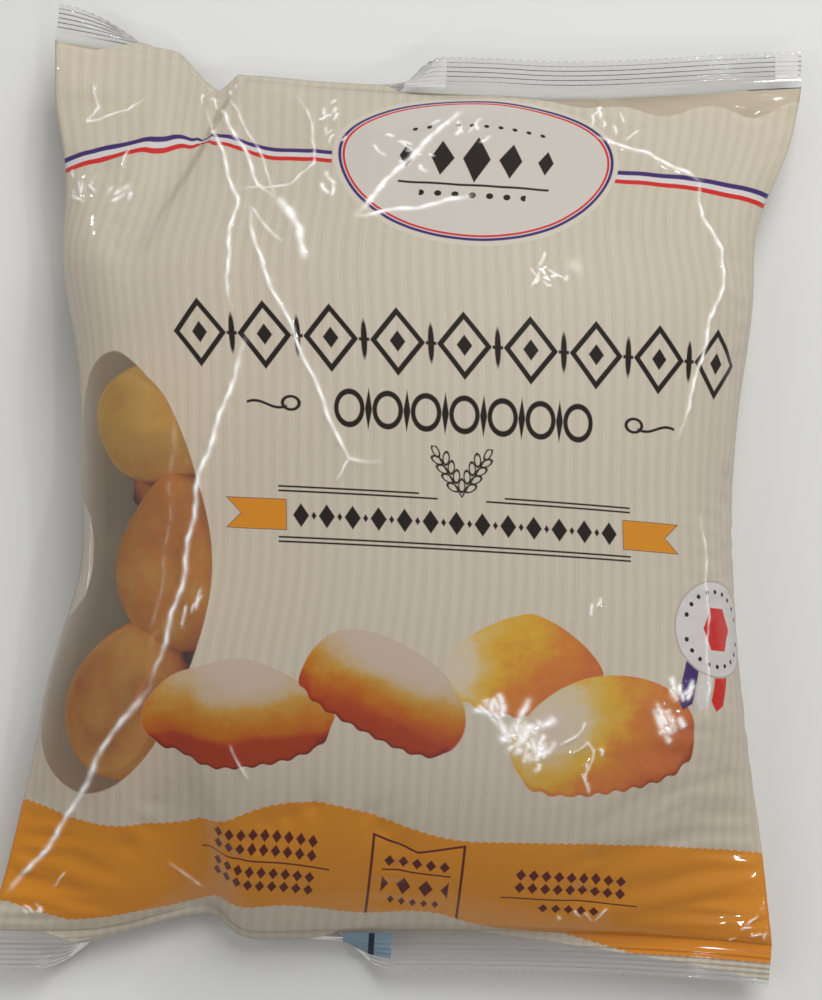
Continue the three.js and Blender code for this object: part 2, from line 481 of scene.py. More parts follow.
# ---------------------------------------------------------------- sharp creases
# Each crease: its height and half width, how strongly its ridge is whitened by a painted glint, from 0
# to 1, and the points it runs through, in film coordinates. A negative height is a dent.
FAN = (0.9, 1.1, 0.95)              # the folds that fan out from the notch
RIDGE = (0.85, 1.1, 1.0)
HAIR = (0.5, 0.7, 0.7)
DENT = (-1.3, 5.0, 0.0)
CREASES = (
    (FAN, [(-69, 139), (-57, 97), (-55, 93), (-54, 54)]),
    (FAN, [(-64, 139), (-49, 99), (-43, 95)]),
    (HAIR, [(-60, 140), (-46, 104), (-43, 95)]),
    ((1.0, 2.2, 1.0), [(-43, 95), (-33, 83), (-31, 72)]),
    (HAIR, [(-37, 141), (-32, 125), (-32, 109), (-38, 100), (-56, 97)]),
    (RIDGE, [(-51, 91), (-44, 71), (-38, 55), (-33, 42), (-19, 10), (-9, 10)]),
    (HAIR, [(-51, 91), (-43, 83), (-38, 78)]),
    (HAIR, [(-19, 10), (-22, 3)]),
    ((1.1, 1.5, 1.0), [(-50, 45), (-58, 23), (-65, 5), (-69, -16), (-70, -34), (-71, -49), (-73, -62)]),
    ((1.3, 1.8, 1.0), [(-73, -62), (-91, -81), (-105, -104), (-118, -128)]),
    (RIDGE, [(56, 127), (74, 120), (93, 109)]),
    (FAN, [(93, 110), (96, 96), (103, 84), (101, 74), (95, 60), (91, 41), (86, 23)]),
    (HAIR, [(95, 3), (97, -12), (97, -25), (96, -62)]),
    (HAIR, [(-109, 133), (-106, 122), (-111, 116), (-97, 122), (-91, 129)]),
    (HAIR, [(-97, 108), (-99, 100), (-100, 93)]),
    ((0.8, 1.7, 1.0), [(-17, 89), (-12, 97), (14, 138)]),
    ((0.7, 1.4, 1.0), [(-17, 89), (8, 95), (20, 100)]),
    (HAIR, [(-48, -75), (-42, -86)]),
    (HAIR, [(-109, -6), (-107.5, -20), (-106, -33)]),
    ((0.15, 0.9, 0.14), [(-73, 30), (-75, 5), (-77, -25), (-75, -52)]),
    (HAIR, [(-67, -122), (-56, -135)]),
    (DENT, [(112, 84), (108, 60), (112, 40)]),
    (DENT, [(110, 20), (106, -4), (111, -20)]),
    (DENT, [(-48, -120), (-36, -100), (-16, -92)]),
    (DENT, [(-8, -92), (6, -110), (2, -134)]),
    (DENT, [(-112, 108), (-98, 92), (-92, 70)]),
    (DENT, [(-86, -118), (-74, -104), (-70, -92)]),
    (DENT, [(58, -132), (66, -116), (60, -104)]),
)
# Small crumpled places: their middle across and along, how far they spread, how many folds, and how
# wide each fold is beside the usual.
CRUMPLES = ((40, 72, 8, 8, 1), (31, -64, 4, 14, 2.3), (37, -70, 5, 22, 2.6), (43, -76, 4, 14, 2.2),
            (52, -72, 3, 3, 1), (60, -77, 3, 3, 1), (58, -84, 5, 4, 1), (87, -56, 3, 9, 2.0),
            (84, -65, 4, 16, 2.4), (-110, 90, 8, 8, 1), (-100, 90, 5, 4, 1), (60, 134, 8, 7, 1),
            (112, -139, 7, 7, 1), (60, -138, 6, 4, 1), (15, 124, 9, 6, 1.3), (-64, -40, 5, 3, 1),
            (-62, 140, 8, 5, 1), (-108, -132, 9, 5, 1), (-26, 118, 6, 4, 1), (60, -30, 5, 2, 1),
            (0, 112, 9, 8, 1.2), (-25, 98, 3, 4, 1.3), (-28, 132, 5, 6, 1.2))


def crumple_folds():
    """The short folds of the crumpled places, each as (shape, route)."""
    rng = np.random.default_rng(CRUMPLE_SEED)
    for x, y, spread, count, width in CRUMPLES:
        lean = rng.uniform(0.6, 2.4)
        for _ in range(count):
            angle = lean + rng.normal(0, 0.45)
            start = rng.normal(0, spread / 2, 2) + (x, y)
            reach = rng.uniform(2.5, 7.5) * np.array([np.cos(angle), np.sin(angle)])
            bend = start + reach / 2 + rng.normal(0, 0.5, 2)
            # The last value is how strongly a painted glint whitens the fold's crest.
            shape = (rng.uniform(0.3, 0.55), width * rng.uniform(0.6, 1.0), 0.85)
            yield shape, [start, bend, start + reach]


def fold_profile(x, y, shape, route):
    """How high one crease is, and how strongly a painted glint whitens it, at places near it."""
    height, width, glint_share = shape
    steps = lengths(np.diff(route, axis=0))
    total, gone = steps.sum(), 0.0
    lift, glint = np.zeros_like(x), np.zeros_like(x)
    for a, b, step in zip(route[:-1], route[1:], steps):
        direction = (b - a) / step
        px, py = x - a[0], y - a[1]
        reach = np.clip(px * direction[0] + py * direction[1], 0, step)
        distance = np.hypot(px - reach * direction[0], py - reach * direction[1])
        place = gone + reach
        taper = np.minimum(1, np.minimum(place, total - place) / total * 6 + 0.12)
        uneven = 0.78 + 0.22 * np.sin(place * 0.8 + route[0, 0])
        lift = np.maximum(lift, abs(height) * taper * uneven * np.exp(-distance / width))
        # The crest is also given a painted glint: a white line in the colour that stands in for light
        # caught on the ridge.
        glint = np.maximum(glint, glint_share * taper * uneven * bell(distance, 0, 0.5 * width))
        gone += step
    return lift, glint


def crease_relief(across, along):
    """How far the creases lift the front film, in mm, and how strongly a painted glint whitens its
    ridges, from 0 to 1.
    """
    ridges, dents, painted_glint = np.zeros_like(across), np.zeros_like(across), np.zeros_like(across)
    wobble_x = 0.45 * np.sin(along * 0.31 + 1.3) + 0.12 * np.sin(along * 1.1 + across * 0.7)
    wobble_y = 0.4 * np.sin(across * 0.4 + 0.4)
    for shape, route in itertools.chain(CREASES, crumple_folds()):
        route = np.array(route, float)
        near = 8 * shape[1]
        low, high = route.min(0) - near, route.max(0) + near
        here = (across > low[0]) & (across < high[0]) & (along > low[1]) & (along < high[1])
        x, y = (across + wobble_x)[here], (along + wobble_y)[here]
        lift, glint = fold_profile(x, y, shape, route)
        raised = ridges if shape[0] > 0 else dents
        raised[here] = np.maximum(raised[here], lift)
        painted_glint[here] = np.maximum(painted_glint[here], glint)
    return ridges - dents, painted_glint


REFINE = 3                          # how many times finer the front film's mesh is beside a crease
REFINE_ABOVE = 0.12                 # mm of ridge


def finer(values, times):
    """A grid of values on a finer grid, along Catmull-Rom curves."""
    for axis in (0, 1):
        line = np.moveaxis(values, axis, 0)
        count = len(line)
        line = np.concatenate([2 * line[:1] - line[1:2], line, 2 * line[-1:] - line[-2:-1]])
        place = np.arange((count - 1) * times + 1) / times
        i = np.minimum(place.astype(int), count - 2)
        f = (place - i).reshape(-1, *[1] * (line.ndim - 1))
        a, b, c, d = (line[i + k] for k in range(4))
        curve = b + 0.5 * f * (c - a + f * (2 * a - 5 * b + 4 * c - d + f * (3 * (b - c) + d - a)))
        values = np.moveaxis(curve, 0, axis)
    return values


def refined_faces(is_fine):
    """Faces over a fine grid: one for each whole cell, or REFINE x REFINE where is_fine is set.

    A whole cell beside a fine one takes in the points on their shared edge, so no gap opens. Also
    gives the cell of each face.
    """
    rows, columns = is_fine.shape
    wide = columns * REFINE + 1
    framed = np.pad(is_fine, 1)
    faces, cells = [], []
    for i, j in np.ndindex(rows, columns):
        corner = i * REFINE * wide + j * REFINE
        cell = i * columns + j
        if is_fine[i, j]:
            for k, m in np.ndindex(REFINE, REFINE):
                first = corner + k * wide + m
                faces.append([first, first + 1, first + wide + 1, first + wide])
                cells.append(cell)
            continue
        face = []
        turns = ((framed[i, j + 1], 1), (framed[i + 1, j + 2], wide),
                 (framed[i + 2, j + 1], -1), (framed[i + 1, j], -wide))
        at = corner
        for beside_fine, step in turns:
            face.extend([at + k * step for k in range(REFINE if beside_fine else 1)])
            at += REFINE * step
        faces.append(face)
        cells.append(cell)
    return faces, np.array(cells)


# ---------------------------------------------------------------- film pieces
# How much film is gathered up near the head: each gather's depth, place across and width.
HEAD_GATHERS = ((9.4, -74.5, 9.5), (3.6, -70.4, 1.9), (6.5, -62, 12), (-1.9, -64.3, 3.2),
                (2.4, -32, 16))


def print_drift(across, along):
    """How far the print has slid along the film where the head is gathered, in mm."""
    left = 11.5 * np.clip((-86 - across) / 35, 0, 1) ** 1.25
    right = 8.7 * np.clip((across - 60) / 60, 0, 1) ** 2
    gathers = sum(depth * bell(across, place, width) for depth, place, width in HEAD_GATHERS)
    slid = (left + right) * smooth((along - 60) / 40) - gathers * smooth((along - 70) / 45)
    return slid * (1 - smooth((along - 118) / 30))


def face_grid(film, front, every=1):
    """One face of the film from its left edge to its right one, and its points' film coordinates.

    every is 1, or more to leave columns out.
    """
    columns = film.shape[1] // 2
    left = (film[:, :1] + film[:, -1:]) / 2
    right = (film[:, columns - 1:columns] + film[:, columns:columns + 1]) / 2
    face = film[:, :columns] if front else film[:, columns:][:, ::-1]
    kept = slice(every // 2, None, every)
    places = np.concatenate([[0], middles(columns)[kept], [1]])
    across, along = np.meshgrid((places - 0.5) * TUBE_WIDTH,
                                np.linspace(-SEAL_START, SEAL_START, film.shape[0]))
    return np.concatenate([left, face[:, kept], right], 1), across, along


def cells_with_ridges(relief):
    """Which cells of the whole grid have a ridge in them, from the relief on the finer grid."""
    is_fine = np.zeros([(side - 1) // REFINE for side in relief.shape], bool)
    for k, m in np.ndindex(REFINE + 1, REFINE + 1):
        ends = [start + REFINE * (count - 1) + 1 for start, count in zip((k, m), is_fine.shape)]
        is_fine |= relief[k:ends[0]:REFINE, m:ends[1]:REFINE] > REFINE_ABOVE
    return is_fine


def renumbered(faces):
    """Which points the faces use, and the faces with their points counted among those alone."""
    used, place = np.unique(np.fromiter(itertools.chain.from_iterable(faces), int),
                            return_inverse=True)
    cuts = np.cumsum([len(face) for face in faces])[:-1]
    return used, [face.tolist() for face in np.split(place.ravel(), cuts)]


EDGE_FADE = 4.0                     # mm, over which the creases fade out at the film's edges


def front_film(film):
    """The front film's mesh with its creases: points, faces, the cell of each face, uv and the painted
    glint's strength.
    """
    points, across, along = (finer(values, REFINE) for values in face_grid(film, True))
    relief, painted_glint = crease_relief(across, along)
    edge = (smooth((TUBE_WIDTH / 2 - np.abs(across)) / EDGE_FADE)
            * smooth((SEAL_START - np.abs(along)) / EDGE_FADE))
    relief, painted_glint = relief * edge, painted_glint * edge
    normal = np.cross(np.gradient(points, axis=1), np.gradient(points, axis=0))
    normal /= np.maximum(lengths(normal), 1e-9)[..., None]
    points = (points + normal * relief[..., None]).reshape(-1, 3)
    uv = film_uv(across, along + print_drift(across, along)).reshape(-1, 2)
    faces, cells = refined_faces(cells_with_ridges(relief))
    used, faces = renumbered(faces)
    return points[used], faces, cells, uv[used], painted_glint.ravel()[used]


SEAM_WIDTH = 12.0
SEAM_COLUMNS = 15
SEAM_GROUND = 0.12                  # the least height of the seam's points


def seam_flap(film):
    """The flap of the tube's own seam, folded flat against the back, from seal to seal."""
    points, across, along = face_grid(film, False, 2)
    wanted = np.linspace(-SEAM_WIDTH / 2, SEAM_WIDTH / 2, SEAM_COLUMNS)
    flap = np.stack([resampled(row, places, wanted) for row, places in zip(points, across)])
    below = 0.3 + 0.12 * np.sin(along[:, :1] * 0.31) * np.sin(wanted * 0.5)
    flap[..., 2] = np.maximum(SEAM_GROUND, flap[..., 2] - below)
    return flap, film_uv(wanted + 0 * along[:, :1], along[:, :1] + 0 * wanted)


RIB_PITCH = 1.7
RIB_DEPTH = 0.28
TOOTH_PITCH = 2.4
TOOTH_DEPTH = 0.7
STRIP_ROWS = 32
STRIP_COLUMNS = 500
STRIP_GAP = 0.12                    # half the gap between the two films
STRIP_GROUND = 0.15                 # the least height of the strip's points


def seal_strip(film, way):
    """A crimped end strip: both films pressed together, ribbed, with a zigzag outer edge.

    way is 1 at the head and -1 at the foot.
    """
    columns = film.shape[1] // 2
    end = film[-1] if way > 0 else film[0]
    wanted = np.linspace(0.5 / columns, 1 - 0.5 / columns, STRIP_COLUMNS)
    front, back = (resampled(side, middles(columns), wanted)
                   for side in (end[:columns], end[columns:][::-1]))
    middle, apart = (front + back) / 2, (front - back) / 2
    u = (front[:, 0] - centre_line(way)) / half_width(way)
    turn = head_turn(u) if way > 0 else foot_turn(u)
    tooth = np.abs((wanted * TUBE_WIDTH / TOOTH_PITCH) % 1 - 0.5) * 2 * TOOTH_DEPTH
    sheets, coordinates = [], []
    for side in (1, -1):
        for d in np.linspace(0, SEAL_DEPTH, STRIP_ROWS)[::side]:
            reach = np.maximum(0, d - tooth * smooth((d - SEAL_DEPTH + 2) / 2))
            out, up, angle = strip_bend(reach, turn)
            ribbed = smooth((d - 2) / 1.5) * smooth((SEAL_DEPTH - 0.6 - d) / 0.6)
            rib = RIB_DEPTH * np.sin(2 * np.pi * d / RIB_PITCH) * ribbed
            ripple = 0.5 * np.sin(u * 9 + 1) * smooth(d / 6)
            gap = apart * (1 - smooth(d / 2)) + np.array([0, 0, STRIP_GAP]) * smooth(d / 2)
            shape = np.stack([0 * u, way * (out + rib * np.sin(angle)),
                              up + (rib + ripple) * np.cos(angle)], -1)
            sheets.append(middle + side * gap + shape)
            coordinates.append(film_uv((wanted - 0.5) * TUBE_WIDTH, way * (SEAL_START + d) + 0 * u))
    points = np.stack(sheets)
    points[..., 2] = np.maximum(points[..., 2], STRIP_GROUND)
    return points, np.stack(coordinates)


# ---------------------------------------------------------------- cakes
CAKE_ROWS = 56
CAKE_COLUMNS = 84
FLUTES = 13
LUMPS = 7                           # slow waves that make each cake uneven


def cake_points(rng, length, width, height):
    """One small sponge cake on the origin: a smooth dome over a fluted, shell-shaped base."""
    polar = np.linspace(0.02, np.pi - 0.02, CAKE_ROWS)[:, None]
    turn = np.linspace(0, 2 * np.pi, CAKE_COLUMNS, endpoint=False)[None, :]
    ring = np.sin(polar) ** 0.72
    taper = 1 - 0.16 * np.cos(turn)
    low = smooth((polar - 1.35) / 0.35)
    flute = low * np.cos(FLUTES * turn + 0.4)
    x = length / 2 * ring * np.cos(turn) * (1 + 0.035 * flute)
    y = width / 2 * ring * np.sin(turn) * taper * (1 + 0.035 * flute)
    dome = 0.6 + 0.14 * bell(ring, 0, 0.62)
    z = height * np.where(polar < np.pi / 2, dome * np.cos(polar), 0.42 * np.cos(polar))
    z = z - height * 0.03 * flute * ring
    for _ in range(LUMPS):
        wave = rng.normal(0, 0.11, 3)
        size = rng.uniform(0.15, 0.5)
        place = wave[0] * x + wave[1] * y + wave[2] * z * 1.5
        lift = size * np.sin(place + rng.uniform(0, 6))
        x, y, z = x + 0.4 * lift * np.cos(turn), y + 0.4 * lift * np.sin(turn), z + lift
    browned = smooth((polar - 1.1) / 0.7) + 0 * turn
    return np.stack([x, y, z], -1), browned


# ---------------------------------------------------------------- drawing with shader nodes
def linear(red, green, blue):
    """A colour given as it looks on a screen, from 0 to 255, turned into light."""
    def one(value):
        value /= 255
        return value / 12.92 if value <= 0.04045 else ((value + 0.055) / 1.055) ** 2.4
    return (one(red), one(green), one(blue), 1.0)


def set_inputs(tree, node, values):
    """Sets inputs of a node, by name or number, each to a constant, a socket or a Field."""
    for name, value in values.items():
        value = value.socket if isinstance(value, Field) else value
        if isinstance(value, bpy.types.NodeSocket):
            tree.links.new(value, node.inputs[name])
        else:
            node.inputs[name].default_value = value
    return node


def new_node(tree, kind, values):
    return set_inputs(tree, tree.nodes.new("ShaderNode" + kind), values)


def new_material(name, values):
    """A material, its node tree and its main shader."""
    material = bpy.data.materials.new(name)
    material.use_nodes = True
    tree = material.node_tree
    return material, tree, set_inputs(tree, tree.nodes["Principled BSDF"], values)


class Field:
    """A number that varies over a surface. Arithmetic on it makes Math nodes."""

    def __init__(self, tree, socket):
        self.tree, self.socket = tree, socket

    def math(self, operation, *others, clamp=False):
        node = new_node(self.tree, "Math", {})
        node.operation, node.use_clamp = operation, clamp
        set_inputs(self.tree, node, dict(enumerate((self, *others))))
        return Field(self.tree, node.outputs[0])

    def __add__(self, other):
        return self.math("ADD", other)

    def __sub__(self, other):
        return self.math("SUBTRACT", other)

    def __mul__(self, other):
        return self.math("MULTIPLY", other)

    def __truediv__(self, other):
        return self.math("DIVIDE", other)

    def __neg__(self):
        return self.math("MULTIPLY", -1.0)

    def __abs__(self):
        return self.math("ABSOLUTE")

    def plus_scaled(self, factor, offset):
        return self.math("MULTIPLY_ADD", factor, offset)

    def clamped(self, factor, offset=0.0):
        """Scaled and offset, and then kept between 0 and 1."""
        return self.math("MULTIPLY_ADD", factor, offset, clamp=True)

    def sine(self, period, shift=0.0):
        turned_x = self.plus_scaled(2 * math.pi / period, -2 * math.pi * shift / period)
        return turned_x.math("SINE")

    def lesser(self, other):
        return self.math("MINIMUM", other)

    def greater(self, other):
        return self.math("MAXIMUM", other)

    def folded(self, start, pitch):
        """The distance to the nearest of a row of centres, pitch apart, one of them at start."""
        return (self - start).math("PINGPONG", pitch / 2)


def noise_texture(tree, coordinates, scale, detail, rough=0.5):
    node = new_node(tree, "TexNoise", {
        "Vector": coordinates, "Scale": scale, "Detail": detail, "Roughness": rough})
    return Field(tree, node.outputs["Fac"])


def colour_ramp(tree, factor, stops):
    """A colour socket that runs through the stops, each a place from 0 to 1 and its colour."""
    node = new_node(tree, "ValToRGB", {0: factor})
    elements = node.color_ramp.elements
    while len(elements) < len(stops):
        elements.new(1.0)
    for element, (place, colour) in zip(elements, stops):
        element.position, element.color = place, colour
    return node.outputs[0]


EDGE = 0.14                         # how far ink fades at its edges, in mm
FINE_EDGE = 0.1                     # and at the edges of hairlines


def ink(distance, edge=EDGE):
    """1 where a signed distance is inside, 0 outside."""
    return distance.clamped(-0.5 / edge, 0.5)


def soft_bell(away):
    """bell, as nodes."""
    return (-(away * away)).math("EXPONENT")


def ring_distance(x, y):
    return (x * x + y * y).math("SQRT")


def box(x, y, half_x, half_y):
    return (abs(x) - half_x).greater(abs(y) - half_y)


def lozenge(x, y, half_x, half_y):
    size = 1 / math.hypot(1 / half_x, 1 / half_y)
    return (abs(x) * (1 / half_x) + abs(y) * (1 / half_y)).plus_scaled(size, -size)


def lozenge_row(x, y, first, pitch, half, half_length):
    """Lozenges of half width and half height half, pitch apart, one of them at first."""
    return lozenge(x.folded(first, pitch), y, *half).greater(abs(x) - half_length)


def oval(x, y, half_x, half_y):
    size = min(half_x, half_y)
    return ring_distance(x * (1 / half_x), y * (1 / half_y)).plus_scaled(size, -size)


def even_oval(x, y, half_x, half_y):
    """Like oval, with lines as wide at its ends as at its sides."""
    size = ring_distance(x * (1 / half_x), y * (1 / half_y))
    slope = ring_distance(x * (1 / half_x ** 2), y * (1 / half_y ** 2))
    return (size - 1.0) * size / slope


def turned(x, y, centre_x, centre_y, degrees):
    """Places across and up something that is turned by degrees about its centre."""
    c, s = math.cos(math.radians(degrees)), math.sin(math.radians(degrees))
    across = (x - centre_x) * c + (y - centre_y) * s
    up = (y - centre_y) * c - (x - centre_x) * s
    return across, up


class Artwork:
    """One material of the printed film, with its ink laid on in order."""

    def __init__(self, name):
        self.material, self.tree, self.shader = new_material(name, {})
        place = new_node(self.tree, "UVMap", {})
        place.uv_map = FILM_MAP
        split = new_node(self.tree, "SeparateXYZ", {0: place.outputs[0]})
        self.x = Field(self.tree, split.outputs[0]).plus_scaled(TUBE_WIDTH, -TUBE_WIDTH / 2)
        self.y = Field(self.tree, split.outputs[1]).plus_scaled(2 * FILM_END, -FILM_END)
        self.colour = None

    def about(self, centre_x, centre_y):
        """Places across and along, from a centre."""
        return self.x - centre_x, self.y - centre_y

    def noise(self, scale_x, scale_y, detail=2.0, rough=0.5):
        place = new_node(self.tree, "CombineXYZ", {0: self.x * scale_x, 1: self.y * scale_y})
        return noise_texture(self.tree, place.outputs[0], 1.0, detail, rough)

    def lay(self, mask, colour):
        """Lays ink of one colour, or of a colour socket, where mask is 1."""
        node = new_node(self.tree, "Mix", {})
        node.data_type = "RGBA"
        set_inputs(self.tree, node, {0: mask, 6: self.colour, 7: colour})
        self.colour = node.outputs[2]


CREAM = linear(219, 211, 194)
CREAM_STRIPE = linear(203, 193, 174)
AMBER = linear(228, 150, 34)
BROWN = linear(34, 25, 20)
NAVY = linear(66, 44, 116)
RED = linear(218, 44, 38)
WHITE = linear(226, 224, 224)
MAROON = linear(98, 24, 20)
BADGE_RIM = linear(224, 216, 202)
BADGE_GROUND = linear(219, 214, 206)
RIBBON_EDGE = linear(128, 82, 34)
MEDAL_EDGE = linear(190, 182, 170)
MARK_BLUE = linear(150, 176, 192)
MARK_BAR = linear(28, 34, 70)
# White of the painted highlights along the crease ridges, standing in for glints.
PAINTED_GLINT_WHITE = linear(255, 254, 251)
INSIDE = linear(222, 208, 184)


def draw_cream(art):
    """Cream with faint upright stripes, as on every part of the print."""
    art.colour = CREAM
    stripe = art.x.sine(3.9).plus_scaled(0.22, 0.3) + art.x.sine(1.27, 0.3) * 0.1
    grain = art.noise(1.9, 0.03, 1.0)
    art.lay((stripe + grain.plus_scaled(0.5, -0.25)).clamped(1.0), CREAM_STRIPE)


LINE_PLACE = 110.5                  # of the tricolour line's middle
LINE_GAP = (18.9, 44.9)             # the middle and half width of its gap for the badge
BADGE_CENTRE = (19.5, 113.0)
BADGE_HALF = (43.6, 30.6)


def lay_tricolour(art, span=None):
    """Blue, white and red along the print, where span is 1."""
    lift = art.y - LINE_PLACE
    for middle, half, colour in ((0, 2.5, WHITE), (1.8, 0.85, NAVY), (-1.8, 0.85, RED)):
        line = ink(abs(lift - middle) - half)
        art.lay(line if span is None else line * span, colour)


def draw_line(art):
    """The tricolour line, on both sides of the badge."""
    lay_tricolour(art, ink(-(abs(art.x - LINE_GAP[0]) - LINE_GAP[1])))


def draw_badge(art):
    """An oval badge ringed in blue and red: lozenges over a rule, with dots above and below."""
    x, y = art.about(*BADGE_CENTRE)
    rim = even_oval(x, y, *BADGE_HALF)
    for ring, colour in ((rim - 1.7, BADGE_RIM), (rim, WHITE), (abs(rim + 0.5) - 0.5, NAVY),
                         (abs(rim + 1.75) - 0.4, RED), (rim + 2.4, BADGE_GROUND)):
        art.lay(ink(ring), colour)
    size = abs(x).math("MULTIPLY_ADD", -0.16, 7.2)
    petal = (abs(x.folded(0, 11.0)) * 1.5 + abs(y - 1.5) * 0.72 - size) * 0.6
    art.lay(ink(petal) * ink(abs(x) - 27.4), BROWN)
    art.lay(ink(box(x, y + 9.5, 24, 0.45)), BROWN)
    dots = ring_distance(x.folded(0, 5.5), y + 13.5) - 1.15
    art.lay(ink(dots) * ink(abs(x) - 17), BROWN)
    arc = ring_distance(x.folded(2.2, 4.4), y - 17 + x * x * 0.0075) - 0.8
    art.lay(ink(arc) * ink(abs(x) - 22), BROWN)


TITLE_MIDDLE = 17.0
TITLE_ONE = 47.0
TITLE_TWO = 25.5


def draw_title_one(art):
    """A frieze of tall lozenges with a bead between each two."""
    pitch, half = 20.4, 90.1
    x, y = art.x.folded(TITLE_MIDDLE, pitch), art.y - TITLE_ONE
    inside = ink(abs(art.x - TITLE_MIDDLE) - half)
    frame_line = abs(lozenge(x, y, 7.4, 9.6)) - 0.8
    art.lay(ink(frame_line.lesser(lozenge(x, y, 2.4, 3.4))) * inside, BROWN)
    beads = oval(x - pitch / 2, y, 0.95, 6.2).lesser(box(x - pitch / 2, y, 1.6, 0.55))
    art.lay(ink(beads) * inside, BROWN)


def draw_title_two(art):
    """A shorter row of rings and darts, with a flourish at each end."""
    pitch = 11.8
    x, y = art.x.folded(TITLE_MIDDLE, pitch), art.y - TITLE_TWO
    inside = ink(abs(art.x - TITLE_MIDDLE) - 40.15)
    ring = abs(ring_distance(x, y * 0.8) - 4.0) - 0.7
    art.lay(ink(ring.lesser(lozenge(x - pitch / 2, y, 1.1, 6.4))) * inside, BROWN)
    away = abs(art.x - TITLE_MIDDLE)
    curl = abs(oval(away - 53.5, y - 0.6, 2.6, 2.0)) - 0.42
    sweep = box(away - 61, y - ((away - 61) * 0.42).math("SINE") * 0.9, 6.3, 0.42)
    art.lay(ink(curl.lesser(sweep)), BROWN)


EAR_MIDDLE = 16.4
EAR_FOOT = 1.2


def draw_ears(art):
    """Two ears of wheat in outline, one the mirror image of the other, joined at the foot."""
    x, y = abs(art.x - EAR_MIDDLE), art.y - EAR_FOOT
    stem = abs(x - y * 0.62 - 0.2) - 0.24
    drawing = stem.greater(abs(y - 5.5) - 6) * 0.8
    for step in range(4):
        rise = 2.2 + 2.6 * step
        for side, lean in ((-1, 4), (1, -62)):
            p, q = turned(x, y, 0.62 * rise + side * 1.35, rise + (0.9 if side < 0 else 0.2), lean)
            drawing = drawing.lesser(abs(oval(p, q, 0.95, 1.9)) - 0.2)
    p, q = turned(x, y, 8.1, 12.9, -30)
    drawing = drawing.lesser(abs(oval(p, q, 0.9, 1.9)) - 0.2)
    art.lay(ink(drawing, FINE_EDGE), BROWN)


RIBBON_MIDDLE = (14.6, -7.0)


def draw_ribbon(art):
    """Double rules above and below a row of lozenges, with amber swallow-tailed ends."""
    x, y = art.about(*RIBBON_MIDDLE)
    upper = box(x, abs(y - 7.6) - 0.65, 55, 0.27).greater(-(abs(art.x - EAR_MIDDLE) - 7.5))
    lower = box(x, abs(y + 7.2) - 0.65, 55, 0.27)
    art.lay(ink(upper.lesser(lower), FINE_EDGE), BROWN)
    row = lozenge(x.folded(0, 8.0), y, 2.5, 3.5)
    small = lozenge(x.folded(4.0, 8.0), y, 0.8, 1.2)
    art.lay(ink(row.lesser(small)) * ink(abs(x) - 50.5), BROWN)
    away = abs(x) - 62
    tail = (abs(y) - 4.3).greater(abs(away) - 9.3).greater((away - 4.6 - abs(y) * 1.05) * 0.7)
    art.lay(ink(abs(tail - 0.1) - 0.15, FINE_EDGE), RIBBON_EDGE)
    art.lay(ink(tail), AMBER)


MEDAL_CENTRE = (100.5, -33.5)


def draw_medal(art):
    """A white disc with a red six-sided device, beads round it, and three ribbon ends."""
    x, y = art.about(*MEDAL_CENTRE)
    for start, colour in ((-11.4, NAVY), (-5.4, WHITE), (0.6, RED)):
        p, q = turned(x, y, start, -18.5, -14)
        tail = box(p, q, 2.5, 7.6).greater((q + 7.4 - abs(p) * 1.1) * -0.7)
        art.lay(ink(tail), colour)
    disc = ring_distance(x, y * 1.07)
    art.lay(ink(disc - 16.2), MEDAL_EDGE)
    art.lay(ink(disc - 15.6), WHITE)
    device = (abs(x - 0.6) * 1.1 + abs(y) * 0.5).greater(abs(y)) - 6.6
    art.lay(ink(device), RED)
    spoke = y.math("ARCTAN2", x).math("PINGPONG", math.pi / 20)
    bead = ring_distance(spoke * 12.4, disc - 12.4) - 0.75
    art.lay(ink(bead) * ink(-(abs(y) - 2.5)), BROWN)


# Tones of the printed cakes, from the pale light on the dome to the dark of the base.
DEEP_TONES = (
    (0.00, linear(210, 192, 174)), (0.20, linear(208, 184, 146)), (0.34, linear(206, 160, 74)),
    (0.50, linear(202, 128, 30)), (0.64, linear(194, 98, 26)), (0.78, linear(182, 70, 26)),
    (0.92, linear(166, 56, 24)), (1.00, linear(128, 42, 22)))
SOFT_TONES = (
    (0.00, linear(222, 206, 192)), (0.22, linear(222, 206, 172)), (0.36, linear(224, 188, 100)),
    (0.48, linear(224, 176, 58)), (0.62, linear(216, 134, 54)), (0.78, linear(206, 114, 60)),
    (0.92, linear(190, 96, 50)), (1.00, linear(146, 62, 32)))


def cake_shape(art, centre, half, lean, bulge):
    """Places across and up a printed cake, and the signed distance to its outline.

    half is its half length, the height of its dome and the depth of its fluted base. bulge is how
    square its two shoulders are, left and right.
    """
    p, q = turned(art.x, art.y, *centre, lean)
    length, dome, base = half
    wide = abs(p) * (1 / length)
    tall = (q * (1 / dome)).greater(q * (-1 / base))
    left, right = bulge
    shoulder = p.clamped(0.5 / length, 0.5).plus_scaled(right - left, left)
    squareness = shoulder + (q * (-1 / base)).clamped(1.6) * 0.9
    body = wide.math("POWER", squareness) + tall.math("POWER", squareness)
    body = body.math("POWER", squareness.math("POWER", -1.0))
    scallop = p.sine(5.6) * (q * (-1 / base)).clamped(0.03)
    return p, q, (body + scallop).plus_scaled(dome, -dome)


